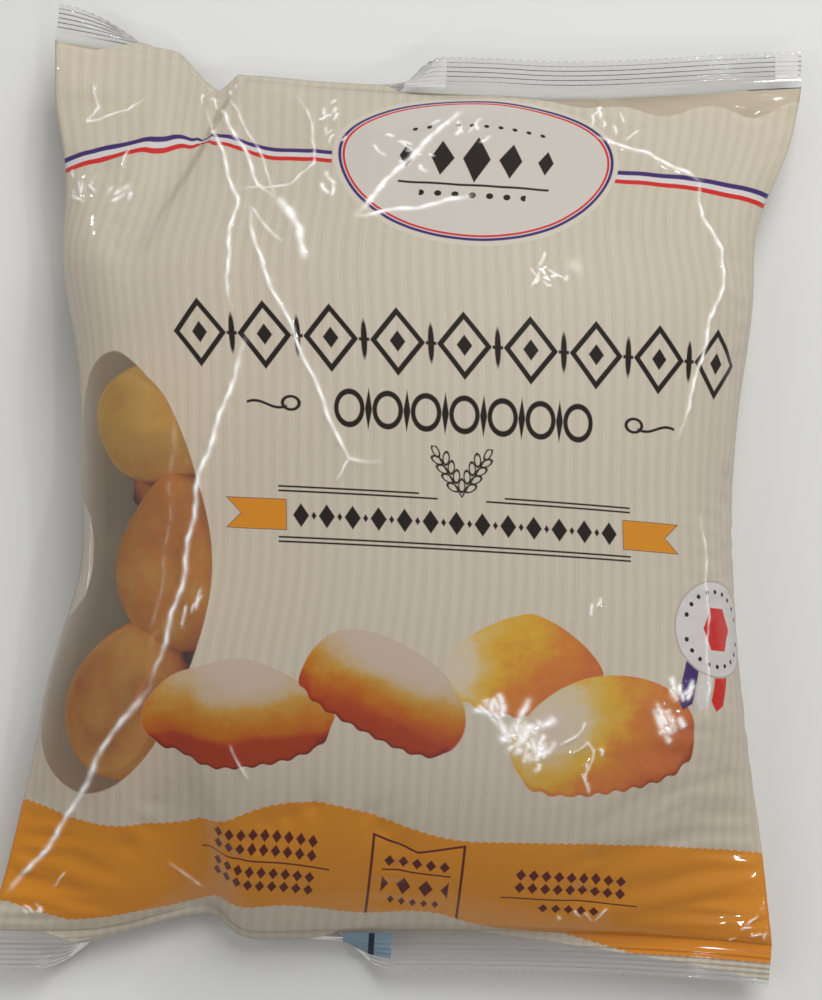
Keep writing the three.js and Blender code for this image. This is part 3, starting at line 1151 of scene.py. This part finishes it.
def draw_cake(art, outline, tones, light, middle, contrast, base_tone, pale):
    """A printed picture of a cake.

    light is where its pale side faces, in degrees; middle and contrast set its shading, base_tone how
    much browner its fluted base is, and pale the place and half size of the lightest patch.
    """
    p, q, shape = cake_shape(art, *outline)
    half = outline[1]
    a, b = math.cos(math.radians(light)), math.sin(math.radians(light))
    slope = p * (-a / half[0]) + q * (-b / half[1])
    grain = art.noise(0.11, 0.15, 2.0, 0.5) - 0.5
    speckle = art.noise(0.6, 0.6, 2.0, 0.6) - 0.5
    tone = slope.plus_scaled(contrast, middle) + grain * 0.3 + speckle * 0.1
    across, up, half_across, half_up = pale
    away = ring_distance((p - across) * (1 / half_across), (q - up) * (1 / half_up))
    tone = tone - soft_bell(away) * 0.4
    base = (q + 4.5).clamped(-0.5, 0.5)
    rim = (shape + 1.8).clamped(0.1) * (base * 0.75 + 0.25)
    art.lay(ink(shape), colour_ramp(art.tree, (tone + base * base_tone).lesser(0.86) + rim, tones))


WINDOW_CENTRE = (-91.4, -26.5)
WINDOW_HALF = (30.8, 66.0)


def window_distance(art):
    """An egg-shaped outline, narrower at its head. A pleat of printed film laps its left edge."""
    y = art.y - WINDOW_CENTRE[1]
    low = y.lesser(0.0)
    x = (art.x - WINDOW_CENTRE[0]) + y * 0.04 + low * low * 0.001
    x = x - x.lesser(0.0) * y.clamped(1 / 30) * 0.13
    half_x = y.plus_scaled(-0.055, WINDOW_HALF[0])
    egg = ring_distance(x / half_x, y * (1 / WINDOW_HALF[1])).plus_scaled(31.0, -31.0)
    end = ((art.y + 20) * (1 / 17)).math("POWER", 4.0) * 10.0
    pleat = art.x + 105.8 + (art.y + 20) * 0.13 + end
    return egg.greater(-pleat * 0.9)


def hump(art, centre, width):
    """A smooth hump of height 1 across the print."""
    return soft_bell((art.x - centre) * (1 / width))


def band_edge(art):
    """The wavy top edge of the amber band."""
    phase = (art.x + 24).math("MULTIPLY", 1 / 52.5).lesser(1.0)
    return (phase * math.pi).math("COSINE").plus_scaled(6.3, -99.3) - hump(art, -60, 13) * 3.6


def draw_band(art):
    """The amber band, with a fine scallop on both edges, two groups of rows and a frame."""
    scallop = abs(art.x.sine(5.2)) * 0.55
    top = art.y - band_edge(art) - scallop
    foot = hump(art, -30, 30) * 9.0 + hump(art, 13, 14) * 5.0 - hump(art, -58, 13) * 5.5
    foot = foot + (-art.x - 97).clamped(0.05) * 9.0
    foot = foot - (art.x - 20).clamped(1 / 58) * 15.0
    bottom = art.y + 140.5 - foot + scallop
    inside = ink(top.greater(-bottom))
    art.lay(inside, AMBER)
    draw_band_left(art)
    draw_band_frame(art, inside)
    draw_band_right(art)


def draw_band_left(art):
    """Two rows of lozenges above a line and two below it, all arched."""
    x, y = art.x + 36.6, art.y + 114.8
    y = y - (x * 0.08).math("COSINE") * 2.4 + 1.4
    pair = abs(y) - 6.8
    rows = lozenge_row(x, pair.folded(2.6, 5.2), 0, 3.7, (1.5, 2.3), 16.6)
    art.lay(ink(rows.greater(abs(pair) - 5.2)), MAROON)
    art.lay(ink(box(x, y, 20.5, 0.3)), MAROON)


def draw_band_frame(art, inside):
    """A frame with a notched top, which runs on to the band's lower edge, and rows within it."""
    x = art.x - 10.2
    y = art.y + 119.5 + x * 0.13
    top = y - 13.2 - abs(x) * 0.33 + 3.4
    frame = abs((abs(x) - 13.8).greater(top).greater(-y - 26)) - 0.4
    art.lay(ink(frame) * inside, MAROON)
    art.lay(ink(box(x, y - 1.9, 10.5, 0.3)), MAROON)
    marks = lozenge_row(x, y + 4.2, 3.4, 6.8, (2.2, 3.6), 10.2)
    marks = marks.lesser(lozenge_row(x, y - 5.4, 0, 4.2, (1.6, 2.2), 10.5))
    marks = marks.lesser(lozenge_row(x, y + 11.0, 0, 3.4, (1.1, 1.8), 8.5))
    art.lay(ink(marks) * inside, MAROON)


def draw_band_right(art):
    """Two rows of lozenges above a line, and a shorter one below it."""
    x = art.x - 57.5
    y = art.y + 127.0 + x * 0.07
    pair = y - 5.4
    rows = lozenge_row(x, pair.folded(2.7, 5.4), 0, 3.9, (1.6, 2.4), 17.5).greater(abs(pair) - 5.4)
    last = lozenge_row(x, y + 6.2, 0, 3.9, (1.5, 2.1), 9.7)
    art.lay(ink(rows.lesser(last)), MAROON)
    art.lay(ink(box(x, y + 2.0, 21, 0.3)), MAROON)


# ---------------------------------------------------------------- where the film is clear
def window_clear(art):
    return ink(window_distance(art))


def window_beside_cake(art):
    return window_clear(art) * ink(-cake_shape(art, *LEFT_CAKE)[2])


def ramp_across(art, start, width):
    return (art.x - start).clamped(1 / width)


def head_clear(art):
    """Past the print's wavy end. Where the strip is folded back, the print runs over the fold."""
    folded = ramp_across(art, -108, 16) * (-ramp_across(art, -16, 14) + 1.0)
    wave = (art.x.sine(28.0, 57.0) * 2.6 - 8.0) * ramp_across(art, 25, 45)
    return ink(-(art.y - folded * 7.5 - wave - 148.0))


def foot_clear(art):
    folded = ramp_across(art, -106, 14) * (-ramp_across(art, -24, 14) + 1.0)
    return ink(-(-art.y - folded * 6.0 - ramp_across(art, 25, 95) * 12.0 - 149.5))


def printers_mark(art):
    return ink(box(art.x + 2.5, art.y + SEAL_START + 5, 7.5, 4.2))


def foot_beside_mark(art):
    return foot_clear(art) * (-printers_mark(art) + 1.0)


def draw_mark(art):
    """A pale printer's mark with a dark bar, on the foot's strip."""
    art.lay(printers_mark(art), MARK_BLUE)
    art.lay(ink(box(art.x + 1.2, art.y + SEAL_START + 5, 0.9, 4.2)), MARK_BAR)


# ---------------------------------------------------------------- finishes
GLOSS = 0.07
SHOW_THROUGH = 0.4                  # how much of the light on the print passes into the bag
WINDOW_HAZE = 0.04                  # how much of the clear film reads as grey
STRIP_HAZE = 0.14
BUMP = 0.35                         # how strong the small crinkles are
STRIP_BUMP = 0.5


def object_coordinates(tree):
    return new_node(tree, "TexCoord", {}).outputs["Object"]


def point_values(tree, name):
    node = new_node(tree, "Attribute", {})
    node.attribute_name = name
    return Field(tree, node.outputs["Fac"])


def bump_of(tree, height, strength, distance):
    """A normal that is bent by a height, where a height of 1 stands for a distance in mm."""
    values = {"Strength": strength, "Distance": distance * MM, "Height": height}
    return new_node(tree, "Bump", values).outputs[0]


def crinkle(tree, painted_glint, strength):
    """Small sharp folds, a slow waviness, and a roughened ridge along the crests that carry a painted
    glint.
    """
    place = object_coordinates(tree)
    folds = noise_texture(tree, place, 14, 1)
    sharp = (abs(folds - 0.56) * -9.0 + 1.0).greater(0.0) * 0.2
    ridge_sparkle = painted_glint * noise_texture(tree, place, 1100, 1) * 0.5
    return bump_of(tree, noise_texture(tree, place, 45, 2) * 0.08 + sharp + ridge_sparkle, strength, 0.8)


def clear_shader(tree, normal, haze, painted_glint):
    """Clear film: seen through, a little hazy, whitened along crease ridges as a painted highlight, and
    mirror-bright at glancing angles.
    """
    through = new_node(tree, "BsdfTransparent", {"Color": (0.93, 0.93, 0.92, 1)})
    cloud = new_node(tree, "BsdfDiffuse", {"Color": (0.8, 0.79, 0.77, 1), "Normal": normal})
    shine = new_node(tree, "BsdfGlossy", {"Roughness": GLOSS, "Normal": normal})
    fresnel = new_node(tree, "Fresnel", {"IOR": 1.45, "Normal": normal})
    # Along the crease ridges the clear film turns cloudy white: a painted highlight.
    body = mix_shaders(tree, (painted_glint + haze).lesser(1.0), through.outputs[0], cloud.outputs[0])
    return mix_shaders(tree, fresnel.outputs[0], body, shine.outputs[0])


def mix_shaders(tree, mask, first, second):
    return new_node(tree, "MixShader", {0: mask, 1: first, 2: second}).outputs[0]


def finish_print(art, clear=None, haze=WINDOW_HAZE, bump=BUMP):
    """Print under a glossy clear face, with painted highlights: white along the crease ridges. Where
    clear is 1 it has no ink.
    """
    tree = art.tree
    painted_glint = point_values(tree, "painted_glint")
    # Painted highlight: the crease ridges are laid in white, as glints.
    art.lay((painted_glint * 1.15).lesser(1.0), PAINTED_GLINT_WHITE)
    normal = crinkle(tree, painted_glint, bump)
    shader = set_inputs(tree, art.shader, {
        "Base Color": art.colour, "Roughness": 0.45, "Normal": normal, "Coat Weight": 1.0,
        "Coat Roughness": GLOSS, "Coat IOR": 1.6, "Coat Normal": normal})
    glow = new_node(tree, "BsdfTranslucent", {"Color": art.colour})
    # Less light passes through along the ridges, so the painted highlight stays whiter.
    passing = (-painted_glint + 1.0).greater(0.0) * SHOW_THROUGH
    whole = mix_shaders(tree, passing, shader.outputs[0], glow.outputs[0])
    if clear is not None:
        whole = mix_shaders(tree, clear, whole, clear_shader(tree, normal, haze, painted_glint))
    set_inputs(tree, tree.nodes["Material Output"], {"Surface": whole})
    return art.material


def plain_haze(art):
    return WINDOW_HAZE


def strip_haze(art):
    """The strips are cloudier where the film is doubled, at their ends."""
    doubled = ink(box(art.x - 115.5, abs(art.y) - SEAL_START - 7, 3.6, 4.6))
    doubled = doubled.greater(ink(box(art.x - 2, art.y - SEAL_START - 7, 6.5, 5.0)))
    return doubled * 0.3 + STRIP_HAZE


def print_material(name, drawings, clear=None, haze=plain_haze, bump=BUMP):
    """Cream film with its drawings. clear and haze say where it is clear, and how hazy there."""
    art = Artwork(name)
    draw_cream(art)
    for draw in drawings:
        draw(art)
    return finish_print(art, clear and clear(art), haze(art), bump)


# The outlines of the printed cakes, left to right: middle; half length, dome and base; lean; how
# square the left and right shoulders are.
LEFT_CAKE = ((-46.8, -69.4), (30.0, 20.2, 12.8), 7, (1.6, 1.4))
SECOND_CAKE = ((-3.2, -59.3), (26.2, 16.0, 11.8), -27, (2.5, 2.0))
THIRD_CAKE = ((37.8, -48.6), (23.8, 16.0, 15.0), -2, (1.5, 1.4))
FOURTH_CAKE = ((63.2, -69.5), (28.8, 19.5, 17.5), 12, (1.7, 2.0))


def cake_drawing(*picture):
    """draw_cake with everything but the artwork filled in."""
    return lambda art: draw_cake(art, *picture)


draw_left_cake = cake_drawing(LEFT_CAKE, DEEP_TONES, 90, 0.54, 0.40, 0.2, (5, 14, 17, 8.5))
draw_second_cake = cake_drawing(SECOND_CAKE, DEEP_TONES, 108, 0.55, 0.46, 0.06, (-1, 12, 24, 8))
draw_third_cake = cake_drawing(THIRD_CAKE, SOFT_TONES, 150, 0.58, 0.24, 0.0, (-22, -6, 9, 14))
draw_fourth_cake = cake_drawing(FOURTH_CAKE, SOFT_TONES, 146, 0.58, 0.26, 0.0, (-13, 6, 12, 12))


# Each patch of the front: its name, its box in film coordinates, what is drawn there, and where it
# is clear. A later patch lies over an earlier one.
PATCHES = (
    ("print_window", (-122, -55, -94, 42), (), window_clear),
    ("print_line", (-122, 122, 88, 132), (draw_line,), None),
    ("print_title_one", (-79, 112, 35, 59), (draw_title_one,), None),
    ("print_title_two", (-53, 90, 15.5, 35), (draw_title_two,), None),
    ("print_ribbon", (-58.8, 92, -16.5, 3), (draw_ribbon,), None),
    ("print_ears", (3, 30, 0.8, 15.5), (draw_ears,), None),
    ("print_cakes_left", (-80, 10, -90, -38), (draw_left_cake, draw_second_cake),
     window_beside_cake),
    ("print_cakes_right", (10, 95, -92, -28),
     (draw_second_cake, draw_third_cake, draw_fourth_cake), None),
    ("print_medal", (80, 122, -52, -15), (draw_medal,), None),
    ("print_medal_tails", (82, 122, -68, -52), (draw_fourth_cake, draw_medal), None),
    ("print_band", (-122, 122, -146, -89), (draw_band,), None),
    ("print_window_foot", (-122, -55, -96, -88), (draw_band,), window_clear),
    ("print_badge", (-28, 70, 79, 147), (draw_line, draw_badge), None),
    ("print_head_end", (-122, 122, 147, 160), (), head_clear),
    ("print_head_wave", (20, 122, 132, 147), (), head_clear),
    ("print_badge_end", (20, 70, 132, 147), (draw_badge,), head_clear),
    ("print_foot_end", (-122, 122, -160, -146), (draw_band,), foot_clear),
)


def front_materials(across, along):
    """The print's materials, and which of them each cell of the front film has."""
    materials = [print_material("print_cream", ())]
    x, y = ((values[:-1, :-1] + values[1:, 1:]).ravel() / 2 for values in (across, along))
    which = np.zeros(len(x), int)
    for name, (x0, x1, y0, y1), drawings, clear in PATCHES:
        materials.append(print_material(name, drawings, clear))
        which[(x > x0) & (x < x1) & (y > y0) & (y < y1)] = len(materials) - 1
    return materials, which


def back_material():
    """The back's print: the same stripes, line and band, and two ruled panels. Pale inside."""
    art = Artwork("print_back")
    draw_cream(art)
    lay_tricolour(art)
    art.lay(ink((art.y - band_edge(art)).greater(-(art.y + 140))), AMBER)
    x, y = abs(art.x) - 62, art.y - 10
    art.lay(ink(box(x, y, 36, 52)), WHITE)
    art.lay(ink(abs(box(x, y, 34, 50)) - 0.3), BROWN)
    art.lay(ink(box(x, y.folded(0, 8), 29, 0.35).greater(abs(y) - 42)), BROWN)
    geometry = new_node(art.tree, "NewGeometry", {})
    art.lay(Field(art.tree, geometry.outputs["Backfacing"]), INSIDE)
    return finish_print(art, ink(-(abs(art.y) - 149.0)), haze=STRIP_HAZE)


SPONGE_TONES = (
    (0.0, linear(242, 194, 92)), (0.3, linear(226, 150, 50)), (0.55, linear(204, 114, 36)),
    (0.8, linear(168, 80, 26)), (1.0, linear(112, 48, 18)))


def cake_material():
    """Sponge: a golden dome that browns towards the fluted base, with a fine open crumb."""
    material, tree, shader = new_material("sponge", {"Roughness": 0.62, "Specular IOR Level": 0.35})
    place = object_coordinates(tree)
    tone = point_values(tree, "baked") + (noise_texture(tree, place, 70, 3) - 0.5) * 0.8
    pores = new_node(tree, "TexVoronoi", {"Vector": place, "Scale": 750})
    pit = (Field(tree, pores.outputs["Distance"]) * 1.6).lesser(1.0)
    crumb = noise_texture(tree, place, 260, 4, 0.65) + pit * 0.35
    set_inputs(tree, shader, {"Base Color": colour_ramp(tree, tone, SPONGE_TONES),
                              "Normal": bump_of(tree, crumb, 0.5, 0.5)})
    return material


# ---------------------------------------------------------------- putting the bag together
# Cakes against the front film: place in film coordinates, turn, length, width, height, browning.
TOP_CAKES = (
    (-83.5, 22.5, 4, 54, 37, 28, -0.12),
    (-81, -22, 97, 56, 38, 29, 0.32),
    (-88.5, -70, 72, 54, 39, 29, 0.26),
)
# Cakes below those: place in mm, turn, tilt, browning.
LOWER_CAKES = (
    (-50, -44, 17, 60, 8, 0.5),
    (-62, 2, 15, 15, 10, 0.4),
    (-54, 38, 18, 80, -8, 0.3),
)
CAKE_SIZE = (53, 35, 27)
CLEARANCE = 0.7                     # between a cake and the film
ROOM = 3.0                          # the least height a cake is pressed down to
DRAW_IN = 0.05                      # how far towards its middle a cake's tight side moves
DRAW_IN_STEPS = 30
CELL = 2.0                          # of the height maps
LIMIT = 170.0                       # their half width
NEARBY = 9.0                        # how far round a cake's place the film's slope is taken


def film_place(front, x, y):
    """The place and outward normal of the front film at film coordinates, evened out."""
    points, across, along = front
    here = points[np.hypot(across - x, along - y) < NEARBY]
    centre = here.mean(0)
    normal = np.linalg.svd(here - centre, full_matrices=False)[2][2]
    return centre, normal * np.sign(normal[2])


def height_map(points, lowest):
    """The lowest or highest point in each square cell, or nan where there is none."""
    side = int(2 * LIMIT / CELL)
    cells = np.clip(((points[:, :2] + LIMIT) / CELL).astype(int), 0, side - 1)
    heights = np.full((side, side), np.inf if lowest else -np.inf)
    (np.minimum if lowest else np.maximum).at(heights, (cells[:, 0], cells[:, 1]), points[:, 2])
    heights[np.isinf(heights)] = np.nan
    return heights


def look_up(heights, place):
    """Heights between the middles of the cells."""
    at = (place + LIMIT) / CELL - 0.5
    i = np.clip(np.floor(at).astype(int), 0, len(heights) - 2)
    f = at - i
    a, b = i[:, 0], i[:, 1]
    low = heights[a, b] * (1 - f[:, 0]) + heights[a + 1, b] * f[:, 0]
    high = heights[a, b + 1] * (1 - f[:, 0]) + heights[a + 1, b + 1] * f[:, 0]
    return low * (1 - f[:, 1]) + high * f[:, 1]


def pressed(shape, roof, ground):
    """A cake held inside the film: drawn in where there is no room, and flattened against it."""
    centre = shape.mean(0)
    for _ in range(DRAW_IN_STEPS):
        room = look_up(roof, shape[:, :2]) - look_up(ground, shape[:, :2])
        tight = ~(room > ROOM + 2 * CLEARANCE)
        shape[tight, :2] += (centre - shape[tight])[:, :2] * DRAW_IN
    top = look_up(roof, shape[:, :2]) - CLEARANCE
    bottom = look_up(ground, shape[:, :2]) + CLEARANCE
    shape[:, 2] = np.clip(shape[:, 2], bottom, top)
    return shape


def placed_cakes(front):
    """The size, turn, centre and browning of each cake."""
    for x, y, yaw, *size, tone in TOP_CAKES:
        surface, normal = film_place(front, x, y)
        lean = Vector((0, 0, 1)).rotation_difference(Vector(normal)).to_matrix()
        turn = lean @ Matrix.Rotation(math.radians(yaw), 3, "Z")
        yield size, turn, surface - normal * (size[2] * 0.7 + 0.8), tone
    for x, y, z, yaw, tilt, tone in LOWER_CAKES:
        turn = Matrix.Rotation(math.radians(yaw), 3, "Z") @ Matrix.Rotation(math.radians(tilt), 3, "Y")
        yield CAKE_SIZE, turn, np.array([x, y, z]), tone


def closed_faces(rows, columns):
    """Faces of rings of points, one ring a row, with the first and last ring filled in."""
    i, j = np.meshgrid(np.arange(rows - 1), np.arange(columns), indexing="ij")
    a, b = i * columns + j, i * columns + (j + 1) % columns
    last = (rows - 1) * columns
    quads = np.stack([a, a + columns, b + columns, b], -1).reshape(-1, 4).tolist()
    return [*quads, list(range(columns)), list(range(last + columns - 1, last - 1, -1))]


def cakes_mesh(front, back):
    """All the cakes as one mesh: points, faces, and how browned each point is."""
    rng = np.random.default_rng(CAKE_SEED)
    roof, ground = height_map(front[0].reshape(-1, 3), True), height_map(back.reshape(-1, 3), False)
    corners, baked, faces = [], [], []
    for k, (size, turn, centre, tone) in enumerate(placed_cakes(front)):
        shape, browned = cake_points(rng, *size)
        corners.append(pressed(shape.reshape(-1, 3) @ np.array(turn).T + centre, roof, ground))
        baked.append(np.clip(browned.ravel() * 0.8 + tone, 0, 1))
        faces.extend([k * browned.size + corner for corner in face]
                     for face in closed_faces(*browned.shape))
    return np.concatenate(corners), faces, np.concatenate(baked)


film = film_shape()
front = face_grid(film, True)
materials, which = front_materials(*front[1:])
points, faces, cells, uv, painted_glint = front_film(film)
film_front = object_piece("film_front", "printed_film", points, faces, materials, which[cells], uv=uv)
# The painted glint's strength at each point, which whitens the crease ridges in the film's colour.
add_values(film_front, "painted_glint", painted_glint)
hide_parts("bag")
points, across, along = face_grid(film, False, 4)
object_piece("film_back", "printed_film", points, grid_faces(*across.shape)[:, ::-1],
             [back_material()], uv=film_uv(across, along))
corners, faces, baked = cakes_mesh(front, film[:, film.shape[1] // 2:])
cakes = object_piece("cakes", "cake", corners, faces, [cake_material()])
add_values(cakes, "baked", baked)
points, uv = seam_flap(film)
object_piece("back_seam", "printed_film", points, grid_faces(*points.shape[:2])[:, ::-1],
             [print_material("print_seam", ())], uv=uv)
for name, way, drawings, clear in (("seal_head", 1, (), head_clear),
                                   ("seal_foot", -1, (draw_band, draw_mark), foot_beside_mark)):
    points, uv = seal_strip(film, way)
    material = print_material(name + "_film", drawings, clear, strip_haze, STRIP_BUMP)
    object_piece(name, "clear_film", points, grid_faces(*points.shape[:2]), [material], uv=uv)


# ---------------------------------------------------------------- light and floor
def area_light(name, place, size, power):
    """A square light that faces the middle of the bag."""
    data = bpy.data.lights.new(name, "AREA")
    data.size, data.energy = size, power
    light = new_object(name, data)
    light.location = place
    light.rotation_euler = (-Vector(place)).to_track_quat("-Z", "Y").to_euler()
    return light


for name, place, size, power in (
        ("key", (0.3, 0.72, 1.0), 0.8, 12.6),
        ("fill", (-0.8, -0.1, 1.2), 0.8, 3.4)):
    area_light(name, place, size, power).visible_glossy = False
# Small lamps, each where the smooth film mirrors it from one of the crumpled places.
for name, place in (("lamp_left", (-0.97, 0.84, 0.38)), ("lamp_right", (0.97, -0.31, 0.82)),
                    ("lamp_head", (0.3, 0.96, 0.81)), ("lamp_foot", (0.35, -0.77, 0.99))):
    area_light(name, place, 0.04, 1.3)
world = bpy.data.worlds.new("world")
bpy.context.scene.world = world
world.use_nodes = True
set_inputs(world.node_tree, world.node_tree.nodes["Background"],
           {"Color": (1.0, 1.0, 1.0, 1), "Strength": 0.25})
bpy.context.scene.view_settings.view_transform = "Standard"


FLOOR_HALF = 2500.0
floor_corners = [[x * FLOOR_HALF, y * FLOOR_HALF, 0] for x, y in ((-1, -1), (1, -1), (1, 1), (-1, 1))]
floor_material = new_material("floor", {"Base Color": (0.62, 0.62, 0.6, 1), "Roughness": 0.6})[0]
floor = mesh_object("floor", floor_corners, [[0, 1, 2, 3]], [floor_material])
floor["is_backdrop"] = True

boxes = {"cad": cad_box, "visual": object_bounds()}
{name: [list(corner) for corner in box] for name, box in boxes.items()}
